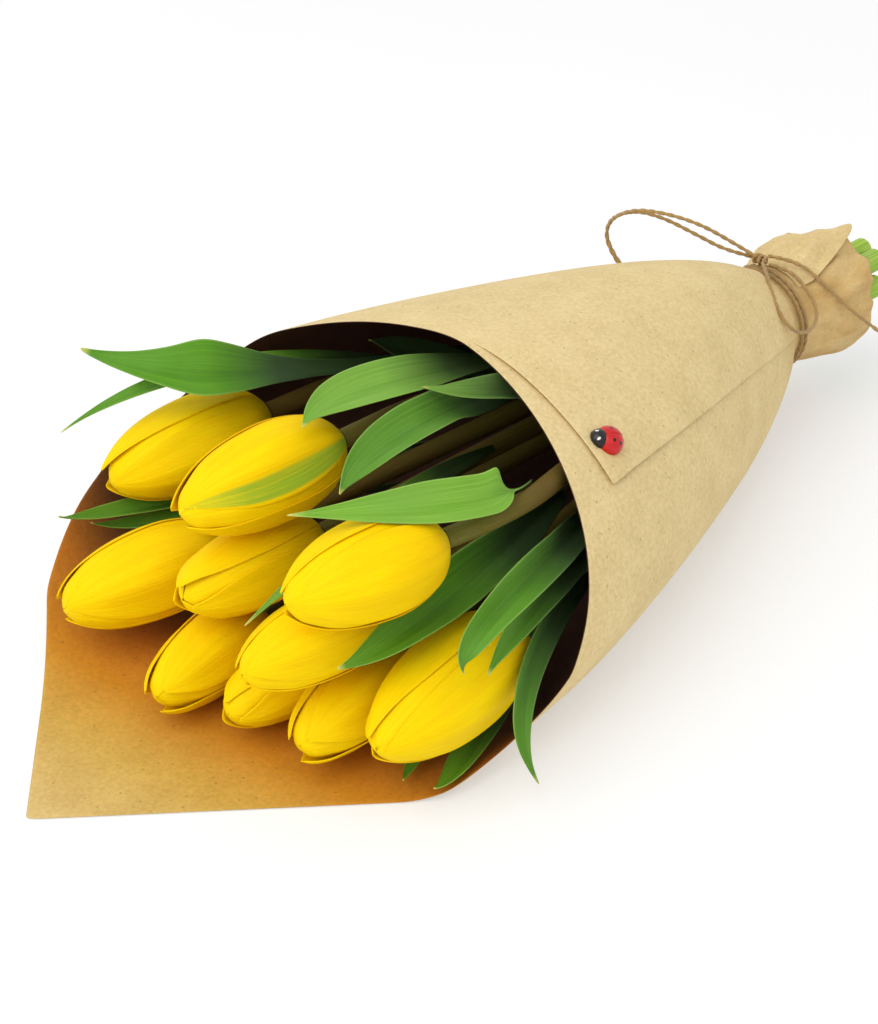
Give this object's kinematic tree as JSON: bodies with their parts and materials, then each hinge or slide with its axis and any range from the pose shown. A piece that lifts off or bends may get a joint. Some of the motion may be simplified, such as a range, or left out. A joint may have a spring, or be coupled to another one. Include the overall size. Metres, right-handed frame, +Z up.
{
  "type": "wrapped tulip bouquet",
  "caption": "Lying bouquet of closed yellow tulips rolled corner to corner in a square kraft paper sheet, tied at the neck with a jute twine bow; the bunch draws out of the paper.",
  "frame": {"origin": "on the flat underside of the paper, on the centre line, half way along the bouquet", "axes": "+X along the bouquet towards the stem ends (flowers at -X), +Z up from the floor, +Y across towards the far side of the picture"},
  "size_m": [0.4529, 0.2313, 0.1063],
  "materials": {
    "kraft_paper": "matte",
    "tulip_tepal": "satin",
    "tulip_stem": "satin",
    "tulip_leaf": "satin",
    "jute_twine": "matte",
    "ladybug_red": "gloss",
    "ladybug_black": "gloss",
    "adhesive_pad": "matte"
  },
  "bodies": {
    "wrap": {"kraft_wrap": "kraft_paper", "ladybug_head": "ladybug_black", "ladybug_pad": "adhesive_pad", "ladybug_shell": "ladybug_red", "twine_back_loop": "jute_twine", "twine_front_loop": "jute_twine", "twine_knot": "jute_twine", "twine_tail": "jute_twine", "twine_turns": "jute_twine"},
    "bunch": {"flower_head_front": "tulip_tepal", "flower_head_left": "tulip_tepal", "flower_head_low_left": "tulip_tepal", "flower_head_low_middle": "tulip_tepal", "flower_head_low_right": "tulip_tepal", "flower_head_middle": "tulip_tepal", "flower_head_right": "tulip_tepal", "flower_head_right_middle": "tulip_tepal", "flower_head_top": "tulip_tepal", "flower_head_top_right": "tulip_tepal", "leaf_between": "tulip_leaf", "leaf_crown": "tulip_leaf", "leaf_curled": "tulip_leaf", "leaf_far_left": "tulip_leaf", "leaf_floor_right": "tulip_leaf", "leaf_floor_small": "tulip_leaf", "leaf_inside_left": "tulip_leaf", "leaf_long_left": "tulip_leaf", "leaf_over_edge": "tulip_leaf", "leaf_over_middle": "tulip_leaf", "leaf_over_top": "tulip_leaf", "leaf_right_lower": "tulip_leaf", "leaf_right_middle": "tulip_leaf", "leaf_right_upper": "tulip_leaf", "leaf_under_left": "tulip_leaf", "leaf_under_left_low": "tulip_leaf", "stem_front": "tulip_stem", "stem_left": "tulip_stem", "stem_low_left": "tulip_stem", "stem_low_middle": "tulip_stem", "stem_low_right": "tulip_stem", "stem_middle": "tulip_stem", "stem_right": "tulip_stem", "stem_right_middle": "tulip_stem", "stem_top": "tulip_stem", "stem_top_right": "tulip_stem"}
  },
  "joints": [
    {"name": "bunch_draw", "type": "slide", "parent": "wrap", "child": "bunch", "axis": [-1, 0, 0], "range_m": [0, 0.46]}
  ]
}
